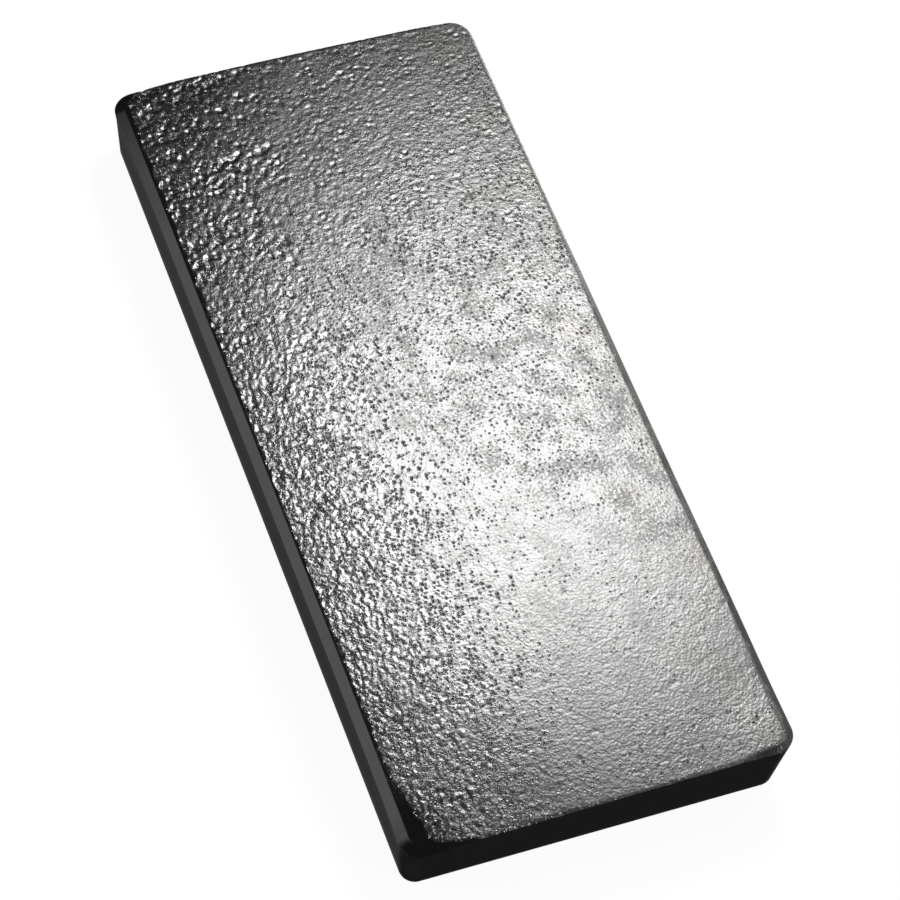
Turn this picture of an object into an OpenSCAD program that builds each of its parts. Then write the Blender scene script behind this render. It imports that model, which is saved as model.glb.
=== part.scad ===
// A cast silver bar, lying on its smaller face as it stands on a table.
// It is one solid piece: the poured face is on top, the four sides lean in
// towards the bottom so that the bar drops out of its open mould, and the
// corners are round. The poured face curves down to a crisp edge all around,
// where the silver set against the wall of the mould.
// Origin: middle of the bottom face. X: width, Y: length, Z: up. Millimetres.

/* [Slab] */
// Length over the crisp edge, the widest line
bar_l = 137; // [100:0.5:160]
// Width over the crisp edge, the widest line
bar_w = 58.6; // [40:0.2:80]
// Height from the bottom face to the poured face
bar_h = 12.25; // [10:0.05:18]

/* [Mould] */
// Lean of the four sides away from upright, in degrees
draft = 5.75; // [2:0.25:8]
// Radius of the four corners seen from above, at the crisp edge
corner_r = 3.4; // [2.6:0.1:6]

/* [Edges] */
// Radius of the poured face's curve down to the crisp edge
rim_r = 2; // [1:0.1:3.4]
// How steep that curve gets at the crisp edge, in degrees
rim_angle = 45; // [20:1:70]
// Radius of the edge around the bottom face
foot_r = 1; // [0.3:0.1:1.6]

/* [Hidden] */
// Sides of a full circle
$fn = 96;

// The edge is drawn from the corner's upright axis outwards: first number out, second number up.
rim_centre = [corner_r - rim_r * sin(rim_angle), bar_h - rim_r];
// The crisp edge, where the curve of the poured face meets the leaning side
crisp_edge = [corner_r, rim_centre[1] + rim_r * cos(rim_angle)];
// Direction square to the leaning side
side_normal = [cos(draft), -sin(draft)];
// How far out the leaning side is at the height of the foot's centre
side_at_foot = crisp_edge[0] - (crisp_edge[1] - foot_r) * tan(draft);
foot_centre = [side_at_foot - foot_r / cos(draft), foot_r];
// Where the leaning side runs into the foot's edge
side_bottom = foot_centre + foot_r * side_normal;

// One edge of the bar from the corner's axis outwards: foot, leaning side and curved rim of the face
module edge_profile() {
    polygon([
        [0, 0],
        [foot_centre[0], 0],
        side_bottom,
        crisp_edge,
        [rim_centre[0], bar_h],
        [0, bar_h]
    ]);
    intersection() {
        translate(foot_centre) circle(r = foot_r);
        square([corner_r, bar_h]);
    }
    intersection() {
        translate(rim_centre) circle(r = rim_r);
        translate([rim_centre[0], crisp_edge[1]]) square(rim_r);
    }
}

// Whole cross-section of a given width: an edge on either side of a plain middle
module cross_section(width) {
    middle_w = width - 2 * corner_r;
    translate([-middle_w / 2, 0]) square([middle_w, bar_h]);
    for (side = [0, 1])
        mirror([side, 0])
            translate([middle_w / 2, 0])
                edge_profile();
}

// One round corner: the edge turned a quarter about the corner's axis
module corner() {
    translate([bar_w / 2 - corner_r, bar_l / 2 - corner_r, 0])
        rotate_extrude(angle = 90)
            edge_profile();
}

// The bar: a run with the long sides, a run with the ends, and the four corners between them
module bar() {
    color("silver") {
        rotate([90, 0, 0])
            linear_extrude(height = bar_l - 2 * corner_r, center = true)
                cross_section(bar_w);
        rotate([90, 0, 90])
            linear_extrude(height = bar_w - 2 * corner_r, center = true)
                cross_section(bar_l);
        for (left = [0, 1], front = [0, 1])
            mirror([left, 0, 0])
                mirror([0, front, 0])
                    corner();
    }
}

bar();
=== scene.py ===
"""A cast silver bar on a pale floor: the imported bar, dressed with its poured and pitted face."""

import math

import bpy
import numpy as np
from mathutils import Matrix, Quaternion, Vector


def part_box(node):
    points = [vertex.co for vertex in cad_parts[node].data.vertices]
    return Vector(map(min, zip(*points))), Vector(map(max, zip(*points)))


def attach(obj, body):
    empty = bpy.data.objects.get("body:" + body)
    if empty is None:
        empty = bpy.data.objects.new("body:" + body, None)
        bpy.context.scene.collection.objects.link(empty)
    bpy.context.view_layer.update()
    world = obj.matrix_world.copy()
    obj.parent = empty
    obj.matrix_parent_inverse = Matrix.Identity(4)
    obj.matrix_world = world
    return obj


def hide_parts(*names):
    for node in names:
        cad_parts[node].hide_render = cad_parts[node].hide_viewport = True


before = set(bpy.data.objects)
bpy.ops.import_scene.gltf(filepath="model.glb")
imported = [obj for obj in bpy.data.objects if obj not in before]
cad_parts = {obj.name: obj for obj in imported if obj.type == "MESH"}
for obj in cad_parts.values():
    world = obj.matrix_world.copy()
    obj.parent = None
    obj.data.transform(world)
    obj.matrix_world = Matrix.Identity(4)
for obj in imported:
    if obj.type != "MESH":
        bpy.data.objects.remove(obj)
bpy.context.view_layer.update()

# Millimetres to Blender's metres
MM = 0.001

# Sizes of the bar, in millimetres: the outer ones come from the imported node
bar_low, bar_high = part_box("bar")
BAR_W = (bar_high.x - bar_low.x) / MM
BAR_L = (bar_high.y - bar_low.y) / MM
BAR_H = (bar_high.z - bar_low.z) / MM
DRAFT = math.radians(5.75)
CORNER_R = 3.4
RIM_R = 2.0
RIM_ANGLE = math.radians(45)
RIM_DROP = RIM_R * (1 - math.cos(RIM_ANGLE))
FOOT_R = 1.0

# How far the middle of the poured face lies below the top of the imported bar, which leaves room for relief
FACE_SINK = 0.24

# How far inside the crisp edge the relief stops: left, right, front, back (below 0 it reaches the edge)
SMOOTH_RIM = (1.85, 0.6, -0.9, -0.9)
# How much further out the relief runs along the back half of the right edge
SHARPER_BACK = 1.5
# Corner radius of the relief's outline
ROUGH_CORNER_R = 4.4

# Relief of the poured face: heights and depths in millimetres
LUMP_H = 0.105
WAVE_H = 0.03
SWELL_H = 0.04
DIMPLE_DEPTH = 0.14
KNOB_DEPTH = 0.26
RINGED_DEPTH = 0.26
HOLLOW_DEPTH = 0.5
CREASE_DEPTH = 0.1
STRAY_DEPTH = 0.1

# Millimetres between points on the poured face, and how strongly they crowd to the left and the back
FACE_STEP = 0.296
CLOSER_ON_LEFT = 0.16
CLOSER_AT_BACK = 0.08
# Rows of points down the side and around the foot
SIDE_ROWS = 4
FOOT_ROWS = 4

# Colours of the silver: bright and dull metal, tarnish, painted shade in the pits, and the sides' mould skin
# painted near black as shade
BRIGHT = (0.96, 0.96, 0.95, 1)
DULL = (0.84, 0.84, 0.83, 1)
TARNISHED = (0.9, 0.87, 0.78, 1)
# Painted shade for the pits, darkening them where the bump casts no shadow
PIT_SHADE = (0.2, 0.2, 0.2, 1)
# The sides are painted near black: painted shade, where real silver sides would mirror the pale floor
SIDE_SHADE_DEEP = (0.032, 0.032, 0.033, 1)
SIDE_SHADE_PALE = (0.058, 0.056, 0.057, 1)
# Tint of reflections at a grazing angle: dark on the sides, which paints shade over what they mirror
SIDE_SHADE_GRAZING = (0.27, 0.27, 0.27, 1)
FACE_GRAZING = (1, 1, 1, 1)

# Roughness of the metal: cast face, smooth rim and mould skin, and what dull and coarse places change
FACE_ROUGHNESS = 0.305
RIM_ROUGHNESS = 0.17
SKIN_ROUGHNESS = 0.42
DULL_ROUGHER = 0.15
COARSE_SMOOTHER = 0.07

# Floor and studio
FLOOR_HALF = 3.0
FLOOR_COLOUR = (0.85, 0.85, 0.85, 1)
FLOOR_WHITE = 0.91
STUDIO_DARK = (0.006, 0.006, 0.006, 1)
STUDIO_LIGHT = (0.6, 0.6, 0.6, 1)

# Camera, worked out from the outline of the bar in the photograph
VIEW_AIM = Vector((2.72, -1.16, 0.3)) * MM
VIEW_AZIMUTH = math.radians(-28.73)
VIEW_ELEVATION = math.radians(55.99)
VIEW_ROLL = math.radians(10.51)
VIEW_DISTANCE = 531.6 * MM
VIEW_LENS = 142.27
SENSOR = 36.0

# Main softbox: where it stands, what it faces, how big it is and how bright its face is
KEY_PLACE = Vector((85.2, 117.0, 234.0)) * MM
KEY_AIM = Vector((3.0, -24.0, 12.0)) * MM
KEY_SIZE = (92 * MM, 86 * MM)
KEY_ROLL = math.radians(-22)
KEY_RADIANCE = 2.04


def ease(t):
    """Smooth step from 0 to 1."""
    t = np.clip(t, 0.0, 1.0)
    return t * t * (3.0 - 2.0 * t)


def ramp(value, start, end):
    """Smooth rise from 0 at start to 1 at end, in millimetres where value is a place on the bar."""
    return ease((value - start) / (end - start))


def noise(x, y, cell, seed):
    """Smooth noise of about -1 to 1, with lumps about one cell across."""
    rng = np.random.default_rng(seed)
    u = (x + BAR_W) / cell
    v = (y + BAR_L) / cell
    i = np.floor(u).astype(int)
    j = np.floor(v).astype(int)
    angle = rng.uniform(0.0, 2.0 * np.pi, (int(2 * BAR_W / cell) + 3, int(2 * BAR_L / cell) + 3))
    u = u - i
    v = v - j

    def corner(di, dj):
        a = angle[i + di, j + dj]
        return np.cos(a) * (u - di) + np.sin(a) * (v - dj)

    along = ease(u)
    near = corner(0, 0) * (1 - along) + corner(1, 0) * along
    far = corner(0, 1) * (1 - along) + corner(1, 1) * along
    across = ease(v)
    return 1.6 * (near * (1 - across) + far * across)


def dimples(x, y, cell, radius, chance, seed):
    """Oval dimples, 0 outside and up to 1 at their middles: at most one in each cell of a loose lattice."""
    rng = np.random.default_rng(seed)
    shape = (int(2 * BAR_W / cell) + 4, int(2 * BAR_L / cell) + 4)
    middle_u = rng.uniform(0.05, 0.95, shape)
    middle_v = rng.uniform(0.05, 0.95, shape)
    size = rng.uniform(radius[0], radius[1], shape) / cell
    there = rng.uniform(0.0, 1.0, shape) < chance
    strength = rng.uniform(0.4, 1.0, shape) * there
    turn = rng.uniform(0.0, np.pi, shape)
    stretch = rng.uniform(1.0, 1.45, shape)
    u = (x + BAR_W) / cell + 1
    v = (y + BAR_L) / cell + 1
    i = np.floor(u).astype(int)
    j = np.floor(v).astype(int)
    depth = np.zeros_like(x)
    for di in (-1, 0, 1):
        for dj in (-1, 0, 1):
            a = i + di
            b = j + dj
            du = u - a - middle_u[a, b]
            dv = v - b - middle_v[a, b]
            along = (du * np.cos(turn[a, b]) + dv * np.sin(turn[a, b])) / stretch[a, b]
            across = (dv * np.cos(turn[a, b]) - du * np.sin(turn[a, b])) * stretch[a, b]
            reach = np.hypot(along, across) / size[a, b]
            depth = np.maximum(depth, strength[a, b] * (1 - ease(reach)))
    return depth


def crease_lines(x, y, cell, width, seed):
    """Thin winding lines, broken into short lengths: 1 along their middles."""
    line = np.maximum(0.0, width - np.abs(noise(x, y, cell, seed))) / width
    return line * ease(2.0 * noise(x, y, 1.2 * cell, seed + 100))


def inside(x, y, margins, radius):
    """Distance inside a round-cornered rectangle that lies within the bar's outline by four margins."""
    left, right, front, back = margins
    past_x = np.abs(x - (left - right) / 2) - (BAR_W - left - right) / 2 + radius
    past_y = np.abs(y - (front - back) / 2) - (BAR_L - front - back) / 2 + radius
    outer = np.hypot(np.maximum(past_x, 0.0), np.maximum(past_y, 0.0))
    return radius - outer - np.minimum(np.maximum(past_x, past_y), 0.0)


def rim_drop(x, y):
    """Fall of the bevelled rim below the face: wide on the left, narrow on the right, slight at the ends."""
    left = ramp(x, -18.0, -27.0)
    right = ramp(x, 19.0, 28.0)
    back = ramp(y, 5.0, 40.0)
    front = ramp(y, -42.0, -64.0)
    width = 0.4 + 1.4 * left + 0.6 * right * (1.0 - back + front)
    drop = 0.06 + 0.4 * left + right * (0.26 + 0.05 * back + 0.15 * front)
    reach = np.clip(1.0 - inside(x, y, (0.0, 0.0, 0.0, 0.0), CORNER_R) / width, 0.0, 1.0)
    # The inner share of the rim bends down, and the rest is straight
    bend = 0.35 + 0.25 * right
    curved = reach * reach / (2.0 * bend)
    straight = reach - bend / 2.0
    return drop * np.where(reach < bend, curved, straight) / (1.0 - bend / 2.0)


def matt_zone(x, y):
    """Where the silver is duller: from the middle to the right edge, but not at the front and the back."""
    return ramp(x, -14.0, 2.0) * ramp(y + 0.9 * x, -20.0, -2.0) * ramp(y, 44.0, 22.0)


def tarnish_zone(x, y):
    """Where the silver has a faint yellow tarnish: patches along the right edge."""
    return ramp(x, 15.0, 25.0) * ease(2.0 * noise(x, y, cell=7.0, seed=41))


def coarse_zone(x, y):
    """How coarse the cast skin is: most on the left, less at back and front, least in the right middle."""
    left = ramp(x, 9.0, -24.0)
    back = 0.45 * ramp(y, -10.0, 30.0)
    front = 0.3 * ramp(y, -50.0, -64.0)
    drift = 0.15 * noise(x, y, cell=14.0, seed=11) + 0.12 * noise(x, y, cell=5.0, seed=12)
    return np.clip(np.maximum(np.maximum(left, back), front) + drift, 0.0, 1.0)


def pitted_zone(x, y):
    """How thickly small pits are strewn: thinner only at the front right."""
    plain = ramp(y - 0.5 * x, -8.0, -34.0) * ramp(x, -16.0, -4.0)
    return np.clip(1.0 - 0.62 * plain + 0.3 * noise(x, y, cell=6.0, seed=13), 0.0, 1.0)


def large_pit_zone(x, y):
    """Share of large pits: most on the left, fewer at the back, hardly any at the front right."""
    at_back_left = ramp(y - x, 10.0, 70.0)
    return 0.75 * ramp(coarse_zone(x, y), 0.0, 0.8) * (1.0 - 0.75 * at_back_left) - 0.08


def rough_area(x, y):
    """Where the cast relief is: 1 on the face, fading at its outline and short of the front left corner."""
    corner = np.hypot(x + BAR_W / 2, y + BAR_L / 2)
    left, right, front, back = SMOOTH_RIM
    right = right - SHARPER_BACK * ramp(y, 5.0, 40.0)
    depth = inside(x, y, (left, right, front, back), ROUGH_CORNER_R) - 2.4 * ramp(corner, 16.0, 0.0)
    return ease((depth + 0.3 * noise(x, y, cell=2.0, seed=32)) / 0.6)


def sag(past, radius):
    """Fall of a face that bends down with a large radius, at a distance past the start of the bend."""
    return np.maximum(0.0, past) ** 2 / (2.0 * radius)


def droop(x, y):
    """How far the face sags at the left, right, front and back left, less a lip at the front right."""
    left = sag(-16.5 - x, 350.0)
    right = sag(x - 16.0, 700.0) * ramp(y, 14.0, -6.0) * ramp(y, -40.0, -20.0)
    front = sag(-38.0 - y, 650.0) * ramp(x, 25.0, -21.0)
    back_left = sag(y - x - 64.0, 625.0)
    corner = 0.5 * ramp(np.hypot(x + BAR_W / 2, y + BAR_L / 2), 9.0, 0.0)
    lip = 0.3 * ramp(np.hypot(x - BAR_W / 2, y + BAR_L / 2), 14.0, 0.0)
    return left + right + front + back_left + corner - lip


def relief(x, y):
    """Height of the poured face's relief, in millimetres, over its plain level."""
    spots = 0.7 + 0.3 * ease(0.5 + 0.9 * noise(x, y, cell=3.4, seed=31))
    amount = coarse_zone(x, y) * spots
    left = ramp(x, 5.0, -26.0)
    right = ramp(x, 2.0, 18.0)
    back = ramp(y, 12.0, 52.0)
    back_left = ramp(y - x, 0.0, 80.0)
    bend_x = x + 0.35 * noise(x, y, cell=1.6, seed=21)
    bend_y = y + 0.35 * noise(x, y, cell=1.6, seed=22)

    # Lumps and waves, strongest on the left
    lumps = noise(bend_x, bend_y, cell=0.55, seed=23) * (0.04 + 0.04 * right + 0.92 * amount * left)
    height = LUMP_H * lumps * (1.0 - 0.6 * back_left)
    waves = noise(bend_x, bend_y, cell=1.2, seed=24)
    height += WAVE_H * waves * (0.1 + 0.2 * right + 0.9 * amount * left)

    # Small dimples on the left, and larger ones that leave knobs between them at the back
    small = dimples(bend_x, bend_y, cell=0.95, radius=(0.28, 0.46), chance=0.75, seed=28)
    height -= DIMPLE_DEPTH * small * (1.0 - 0.6 * back_left) * (0.03 + 0.97 * amount) * (0.3 + 0.7 * left)
    knobs = dimples(bend_x, bend_y, cell=1.35, radius=(0.35, 0.65), chance=0.8, seed=38)
    height -= KNOB_DEPTH * knobs * amount * back * (0.75 + 0.25 * left)

    # Pits with raised rings at the back right: the same seed puts each ring around its pit
    pit = dimples(x, y, cell=2.1, radius=(0.38, 0.6), chance=0.6, seed=39)
    ring = dimples(x, y, cell=2.1, radius=(0.66, 1.04), chance=0.6, seed=39)
    height -= RINGED_DEPTH * (pit - 0.4 * ring) * ramp(y, 4.0, 34.0) * (1.0 - left)

    # Clusters of winding hollows at the back left
    winding_x = bend_x + 0.8 * noise(x, y, cell=2.4, seed=35)
    winding_y = bend_y + 0.8 * noise(x, y, cell=2.4, seed=36)
    clusters = ease(0.6 + 1.1 * noise(x, y, cell=7.0, seed=37)) * ramp(x, 18.0, -16.0)
    hollows = dimples(winding_x, winding_y, cell=2.1, radius=(0.45, 1.0), chance=0.75, seed=33)
    height -= HOLLOW_DEPTH * hollows * amount * back_left * clusters

    # Creases on the left, and stray pits all over
    height -= CREASE_DEPTH * crease_lines(bend_x, bend_y, cell=4.0, width=0.14, seed=26) * amount * left
    height -= STRAY_DEPTH * dimples(x, y, cell=4.6, radius=(0.4, 0.62), chance=0.3, seed=29)
    return height * rough_area(x, y) + SWELL_H * noise(x, y, cell=20.0, seed=27) - droop(x, y)


def side_rows():
    """The edge below the crisp edge, down to the foot: (out from the corner's axis, up), in millimetres."""
    crisp_edge = (CORNER_R, BAR_H - RIM_DROP)
    side_at_foot = crisp_edge[0] - (crisp_edge[1] - FOOT_R) * math.tan(DRAFT)
    foot = (side_at_foot - FOOT_R / math.cos(DRAFT), FOOT_R)
    side_bottom = (foot[0] + FOOT_R * math.cos(DRAFT), foot[1] - FOOT_R * math.sin(DRAFT))
    rows = []
    for k in range(1, SIDE_ROWS + 1):
        t = k / SIDE_ROWS
        out = crisp_edge[0] + (side_bottom[0] - crisp_edge[0]) * t
        up = crisp_edge[1] + (side_bottom[1] - crisp_edge[1]) * t
        rows.append((out, up))
    for k in range(1, FOOT_ROWS + 1):
        turn = -DRAFT - (math.pi / 2 - DRAFT) * k / FOOT_ROWS
        rows.append((foot[0] + FOOT_R * math.cos(turn), foot[1] + FOOT_R * math.sin(turn)))
    return rows


def face_grid():
    """Plan of the poured face as a grid of points out to the crisp edge, with its corners drawn in."""
    half_w = BAR_W / 2
    half_l = BAR_L / 2
    columns = round(2 * half_w / FACE_STEP)
    columns += columns % 2
    rows = round(2 * half_l / FACE_STEP)
    rows += rows % 2
    across = np.linspace(-1.0, 1.0, columns + 1)
    across = across + CLOSER_ON_LEFT * (across * across - 1)
    along = np.linspace(-1.0, 1.0, rows + 1)
    along = along - CLOSER_AT_BACK * (along * along - 1)
    x, y = np.meshgrid(half_w * across, half_l * along, indexing="ij")
    a = np.maximum(0.0, np.abs(x) - half_w + CORNER_R) / CORNER_R
    b = np.maximum(0.0, np.abs(y) - half_l + CORNER_R) / CORNER_R
    x = np.sign(x) * (np.minimum(np.abs(x), half_w - CORNER_R) + CORNER_R * a * np.sqrt(1 - b * b / 2))
    y = np.sign(y) * (np.minimum(np.abs(y), half_l - CORNER_R) + CORNER_R * b * np.sqrt(1 - a * a / 2))
    return x, y


def mark_sharp(mesh, loop):
    """Marks the edges along a loop of points as sharp."""
    on_loop = set(loop.tolist())
    for line in mesh.edges:
        a, b = line.vertices
        if a in on_loop and b in on_loop:
            line.use_edge_sharp = True


def add_zones(mesh, x, y, edge, points_below):
    """Writes the zones of the poured face onto the mesh's points, for the material to read."""
    below = np.ones(points_below)
    # From the face to its edge the value goes from -1 to 0, and the material turns to the mould skin,
    # painted near black as shade, just short of 0
    face_skin = np.full(x.size, -1.0)
    face_skin[edge] = 0.0
    zones = {
        "mould_skin_and_shade": (face_skin, 10 * below),
        "matt": (matt_zone(x, y).ravel(), 0 * below),
        "tarnish": (tarnish_zone(x, y).ravel(), 0 * below),
        "coarse": (coarse_zone(x, y).ravel(), 0 * below),
        "rough": (rough_area(x, y).ravel(), 0 * below),
        "pitted": (pitted_zone(x, y).ravel(), 0 * below),
        "large_pits": (large_pit_zone(x, y).ravel(), 0 * below),
    }
    for name, values in zones.items():
        mesh.attributes.new(name, "FLOAT", "POINT").data.foreach_set("value", np.concatenate(values))


def bar_mesh():
    """The whole bar as one closed mesh: a fine grid on the face, rows down the sides, one bottom face."""
    x, y = face_grid()
    columns, rows = x.shape
    index = np.arange(columns * rows).reshape(columns, rows)
    edge = np.concatenate([index[:-1, 0], index[-1, :-1], index[:0:-1, -1], index[0, :0:-1]])
    every_other = edge[::2]
    axis_x = np.clip(x.ravel()[every_other], CORNER_R - BAR_W / 2, BAR_W / 2 - CORNER_R)
    axis_y = np.clip(y.ravel()[every_other], CORNER_R - BAR_L / 2, BAR_L / 2 - CORNER_R)
    out_x = (x.ravel()[every_other] - axis_x) / CORNER_R
    out_y = (y.ravel()[every_other] - axis_y) / CORNER_R

    face_up = BAR_H - FACE_SINK - rim_drop(x, y) + relief(x, y)
    points = [np.column_stack([x.ravel(), y.ravel(), face_up.ravel()])]
    quads = [np.column_stack([
        index[:-1, :-1].ravel(), index[1:, :-1].ravel(), index[1:, 1:].ravel(), index[:-1, 1:].ravel()])]
    triangles = []
    above = edge
    for row, (out, up) in enumerate(side_rows()):
        here = x.size + row * len(every_other) + np.arange(len(every_other))
        after = np.roll(here, -1)
        points.append(np.column_stack([axis_x + out_x * out, axis_y + out_y * out, np.full(len(here), up)]))
        if row == 0:
            # The first row has half as many points as the face's edge
            second = above[1::2]
            triangles.append(np.column_stack([every_other, here, second]))
            triangles.append(np.column_stack([second, here, after]))
            triangles.append(np.column_stack([second, after, np.roll(every_other, -1)]))
        else:
            quads.append(np.column_stack([above, here, after, np.roll(above, -1)]))
        above = here

    faces = np.concatenate(quads).tolist() + np.concatenate(triangles).tolist() + [above[::-1].tolist()]
    mesh = bpy.data.meshes.new("silver_bar")
    mesh.from_pydata((np.concatenate(points) * MM).tolist(), [], faces)
    mesh.polygons.foreach_set("use_smooth", [True] * (len(faces) - 1) + [False])
    mark_sharp(mesh, edge)
    add_zones(mesh, x, y, edge, sum(len(p) for p in points[1:]))
    mesh.validate()
    return mesh


class Shader:
    """A material's or world's node tree, with short ways to add and join nodes."""

    def __init__(self, owner):
        owner.use_nodes = True
        self.tree = owner.node_tree
        self.tree.nodes.clear()

    def add(self, kind, settings=None, **inputs):
        """A new node with its settings. Inputs go by name, or by number after an underscore."""
        node = self.tree.nodes.new("ShaderNode" + kind)
        for name, value in (settings or {}).items():
            setattr(node, name, value)
        for name, value in inputs.items():
            self.put(node.inputs[int(name[1:]) if name[0] == "_" else name.replace("_", " ")], value)
        return node

    def put(self, socket, value):
        """Links another node's output to a socket, or sets the socket to a plain value."""
        if isinstance(value, bpy.types.NodeSocket):
            self.tree.links.new(value, socket)
        else:
            socket.default_value = value

    def math(self, operation, *values):
        """One operation on two values."""
        inputs = {f"_{k}": value for k, value in enumerate(values)}
        return self.add("Math", {"operation": operation}, **inputs).outputs[0]

    def times(self, first, second):
        """The product of two values."""
        return self.math("MULTIPLY", first, second)

    def remap(self, value, low, high, to_low=0.0, to_high=1.0):
        """Smoothly maps value from low..high to to_low..to_high."""
        node = self.add("MapRange", {"interpolation_type": "SMOOTHSTEP"}, Value=value)
        for name, number in (("From Min", low), ("From Max", high), ("To Min", to_low), ("To Max", to_high)):
            node.inputs[name].default_value = number
        return node.outputs[0]

    def mix(self, share, first, second):
        """Mixes two values by a share from 0 to 1."""
        return self.add("Mix", _0=share, _2=first, _3=second).outputs[0]

    def blend(self, share, first, second):
        """Mixes two colours by a share from 0 to 1."""
        return self.add("Mix", {"data_type": "RGBA"}, _0=share, _6=first, _7=second).outputs[2]

    def zone(self, name):
        """A zone that the mesh's points carry."""
        return self.add("Attribute", {"attribute_name": name}).outputs["Fac"]

    def flat_noise(self, place, scale, detail=0.0, roughness=0.5):
        """Outputs of a noise that is the same at every height."""
        return self.add("TexNoise", {"noise_dimensions": "2D"},
                        Vector=place, Scale=scale, Detail=detail, Roughness=roughness).outputs


def pits(s, place, cell, radius, share, steep):
    """Pits with raised rims in a share of the cells: heights in millimetres, and up to 1 inside them."""
    cells = s.add("TexVoronoi", {"voronoi_dimensions": "2D"}, Vector=place, Scale=1 / cell)
    chance = s.add("SeparateColor", Color=cells.outputs["Color"]).outputs
    size = s.remap(chance[0], 0.0, 1.0, radius[0], radius[1])
    reach = s.math("DIVIDE", s.times(cells.outputs["Distance"], cell), size)
    there = s.remap(s.math("SUBTRACT", share, chance[1]), -0.1, 0.1)
    there = s.times(there, s.remap(chance[2], 0.1, 1.0, 0.15, 1.0))
    in_pit = s.times(s.math("MAXIMUM", s.math("SUBTRACT", 1.0, reach), 0.0), there)
    rim = s.times(s.times(s.remap(reach, 0.7, 1.15), s.remap(reach, 1.8, 1.15)), there)
    height = s.math("SUBTRACT", s.times(rim, 0.25), in_pit)
    return s.times(height, s.times(size, steep)), in_pit


def silver_material():
    """Cast silver: bright and pitted on the poured face with painted shade in the pits, and smooth where it
    lay in the mould, painted dark there as shade.
    """
    material = bpy.data.materials.new("cast_silver")
    s = Shader(material)
    place = s.add("TexCoord").outputs["Object"]
    mm = s.add("VectorMath", {"operation": "SCALE"}, _0=place, Scale=1 / MM).outputs[0]
    poured = s.math("SUBTRACT", 1.0, s.remap(s.zone("mould_skin_and_shade"), -0.03, 0.0))
    coarse = s.zone("coarse")
    rough = s.zone("rough")
    pitted = s.zone("pitted")

    # Dull patches, speckled
    clouds = s.flat_noise(mm, scale=0.22, detail=3.0, roughness=0.6)[0]
    specks = s.flat_noise(mm, scale=2.3, detail=2.0, roughness=0.7)[0]
    dull = s.remap(s.math("ADD", s.times(clouds, 0.7), specks), 0.78, 1.02)
    dull = s.times(dull, s.remap(s.zone("matt"), 0.0, 1.0, 0.38, 1.0))

    # Pits: small ones everywhere, and large ones that are not quite round
    small_share = s.times(pitted, 0.75)
    small_pits, in_small = pits(s, mm, cell=0.72, radius=(0.1, 0.17), share=small_share, steep=0.42)
    shift = s.flat_noise(mm, scale=1.9)["Color"]
    shift = s.add("VectorMath", {"operation": "SCALE"}, _0=shift, Scale=0.12).outputs[0]
    ragged = s.add("VectorMath", _0=mm, _1=shift).outputs[0]
    large_share = s.zone("large_pits")
    large_pits, in_large = pits(s, ragged, cell=0.7, radius=(0.13, 0.23), share=large_share, steep=0.7)

    # Heights of pits and grain in millimetres, with a fine unevenness on the whole bar
    grain = s.math("ADD", s.flat_noise(mm, scale=2.5)[0], s.flat_noise(mm, scale=1.2)[0])
    fine = s.add("TexNoise", Vector=mm, Scale=6.0, Detail=2.0).outputs[0]
    height = s.math("ADD", s.times(small_pits, s.remap(pitted, 0.2, 0.9, 0.55, 1.0)), large_pits)
    height = s.math("ADD", height, s.times(grain, s.remap(coarse, 0.2, 0.9, 0.02, 0.018)))
    height = s.math("ADD", s.times(height, rough), s.times(fine, 0.002))
    bump = s.add("Bump", Height=height, Distance=MM).outputs[0]

    face_rough = s.remap(rough, 0.0, 1.0, RIM_ROUGHNESS, FACE_ROUGHNESS)
    face_rough = s.math("ADD", face_rough, s.times(dull, DULL_ROUGHER))
    face_rough = s.math("SUBTRACT", face_rough, s.times(coarse, COARSE_SMOOTHER))
    roughness = s.mix(poured, SKIN_ROUGHNESS, face_rough)

    # Painted shade darkens the pits, as the bump casts no shadow there: least in the small ones of the plain
    # front
    pit_shade = s.times(in_small, s.remap(pitted, 0.2, 0.9, 0.12, 0.36))
    pit_shade = s.remap(s.math("MAXIMUM", pit_shade, in_large), 0.1, 0.6, 0.0, 0.55)
    face = s.blend(dull, BRIGHT, DULL)
    face = s.blend(s.times(s.zone("tarnish"), specks), face, TARNISHED)
    face = s.blend(s.times(pit_shade, rough), face, PIT_SHADE)
    # The sides take a near-black colour and a dark grazing tint: painted shade, where silver sides would
    # mirror the pale floor
    colour = s.blend(poured, s.blend(fine, SIDE_SHADE_DEEP, SIDE_SHADE_PALE), face)
    grazing = s.blend(poured, SIDE_SHADE_GRAZING, FACE_GRAZING)

    bsdf = s.add("BsdfPrincipled", Base_Color=colour, Metallic=1.0, Roughness=roughness,
                 Specular_Tint=grazing, Normal=bump)
    s.add("OutputMaterial", Surface=bsdf.outputs[0])
    return material


def floor_material():
    """A pale floor: near white to the eye and in reflections, with a faint shadow beside the bar."""
    material = bpy.data.materials.new("pale_floor")
    s = Shader(material)
    paths = s.add("LightPath").outputs
    seen = s.math("MAXIMUM", paths["Is Camera Ray"], paths["Is Glossy Ray"])
    seen = s.math("MAXIMUM", seen, paths["Is Transmission Ray"])
    matt = s.add("BsdfDiffuse", Color=FLOOR_COLOUR)
    glow = s.add("Emission", Strength=s.times(seen, FLOOR_WHITE))
    both = s.add("AddShader", _0=matt.outputs[0], _1=glow.outputs[0])
    s.add("OutputMaterial", Surface=both.outputs[0])
    return material


def add_bar():
    """The dressed bar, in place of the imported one."""
    bar = bpy.data.objects.new("cast_bar", bar_mesh())
    bpy.context.scene.collection.objects.link(bar)
    bar.data.materials.append(silver_material())
    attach(bar, "root")
    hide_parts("bar")


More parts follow.
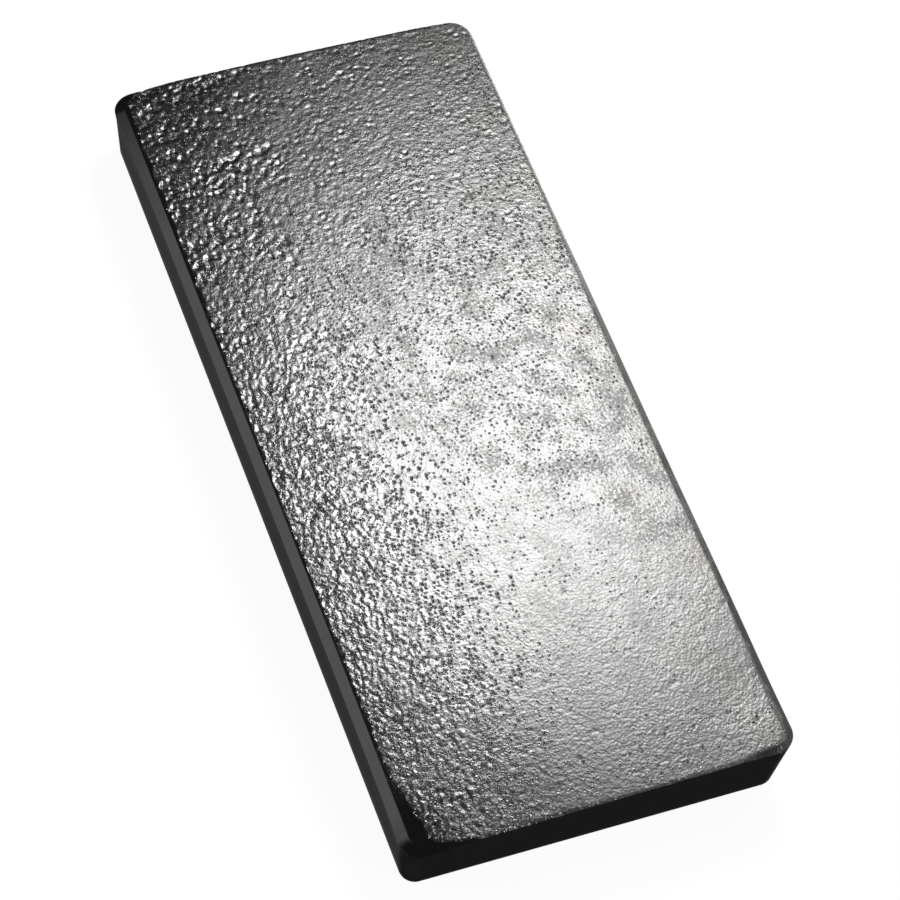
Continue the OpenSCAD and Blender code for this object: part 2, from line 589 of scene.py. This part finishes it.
def add_floor():
    """A wide flat floor under the bar."""
    half = FLOOR_HALF
    corners = [(-half, -half, 0), (half, -half, 0), (half, half, 0), (-half, half, 0)]
    mesh = bpy.data.meshes.new("floor")
    mesh.from_pydata(corners, [], [(0, 1, 2, 3)])
    mesh.materials.append(floor_material())
    floor = bpy.data.objects.new("floor", mesh)
    bpy.context.scene.collection.objects.link(floor)


def add_softbox(name, place, aim, size, roll, radiance):
    """A rectangular lamp of even brightness that faces a point."""
    lamp = bpy.data.lights.new(name, "AREA")
    lamp.shape = "RECTANGLE"
    lamp.size = size[0]
    lamp.size_y = size[1]
    lamp.energy = radiance * math.pi * size[0] * size[1]
    box = bpy.data.objects.new(name, lamp)
    box.location = place
    box.rotation_mode = "QUATERNION"
    box.rotation_quaternion = (aim - place).to_track_quat("-Z", "Y") @ Quaternion((0, 0, 1), roll)
    bpy.context.scene.collection.objects.link(box)


def set_world():
    """A dim studio with soft lighter areas, each given by the direction in which it lies."""
    world = bpy.data.worlds.new("studio")
    bpy.context.scene.world = world
    s = Shader(world)
    way = s.add("SeparateXYZ", Vector=s.add("TexCoord").outputs["Generated"]).outputs
    # Faint light in front, and a lighter wall on the right that is brightest towards the back
    front = s.times(s.remap(way["Y"], -0.35, -0.55), s.remap(way["X"], -0.3, 0.0, 0.0, 0.2))
    right = s.times(s.remap(way["X"], 0.5, 0.7), s.remap(way["Y"], 0.47, 0.56, 0.1, 0.9))
    # A faint light on the left, a little to the back, which the wide left rim mirrors
    left = s.times(s.remap(way["Y"], 0.02, 0.25), s.remap(way["Y"], 0.72, 0.56))
    left = s.times(s.remap(way["X"], -0.1, -0.18, 0.0, 0.13), left)
    # A bright patch on the right, a little to the back
    patch = s.times(s.remap(way["Y"], 0.05, 0.18), s.remap(way["Y"], 0.4, 0.3))
    patch = s.times(s.remap(way["X"], 0.36, 0.46, 0.0, 0.6), patch)
    patch = s.times(s.remap(way["X"], 0.66, 0.58), patch)
    # A band above the horizon, in front and on the left
    band = s.math("MAXIMUM", s.remap(way["Y"], 0.0, -0.3), s.remap(way["X"], -0.4, -0.7))
    band = s.times(band, s.remap(way["Z"], 0.5, 0.3, 0.0, 0.8))
    lit = s.math("MAXIMUM", s.math("MAXIMUM", front, patch), s.math("MAXIMUM", left, right))
    shade = s.blend(s.math("MAXIMUM", lit, band), STUDIO_DARK, STUDIO_LIGHT)
    s.add("OutputWorld", Surface=s.add("Background", Color=shade).outputs[0])


def add_camera():
    """The photograph's camera."""
    camera = bpy.data.cameras.new("camera")
    camera.sensor_width = SENSOR
    camera.lens = VIEW_LENS
    camera.clip_start = 10 * MM
    holder = bpy.data.objects.new("camera", camera)
    level = math.cos(VIEW_ELEVATION)
    back = Vector((
        math.sin(VIEW_AZIMUTH) * level, -math.cos(VIEW_AZIMUTH) * level, math.sin(VIEW_ELEVATION)))
    holder.location = VIEW_AIM + back * VIEW_DISTANCE
    holder.rotation_mode = "QUATERNION"
    holder.rotation_quaternion = (-back).to_track_quat("-Z", "Y") @ Quaternion((0, 0, 1), VIEW_ROLL)
    bpy.context.scene.collection.objects.link(holder)
    bpy.context.scene.camera = holder


bpy.context.scene.view_settings.view_transform = "Standard"
add_camera()
add_bar()
add_floor()
add_softbox("key_softbox", KEY_PLACE, KEY_AIM, KEY_SIZE, KEY_ROLL, KEY_RADIANCE)
set_world()
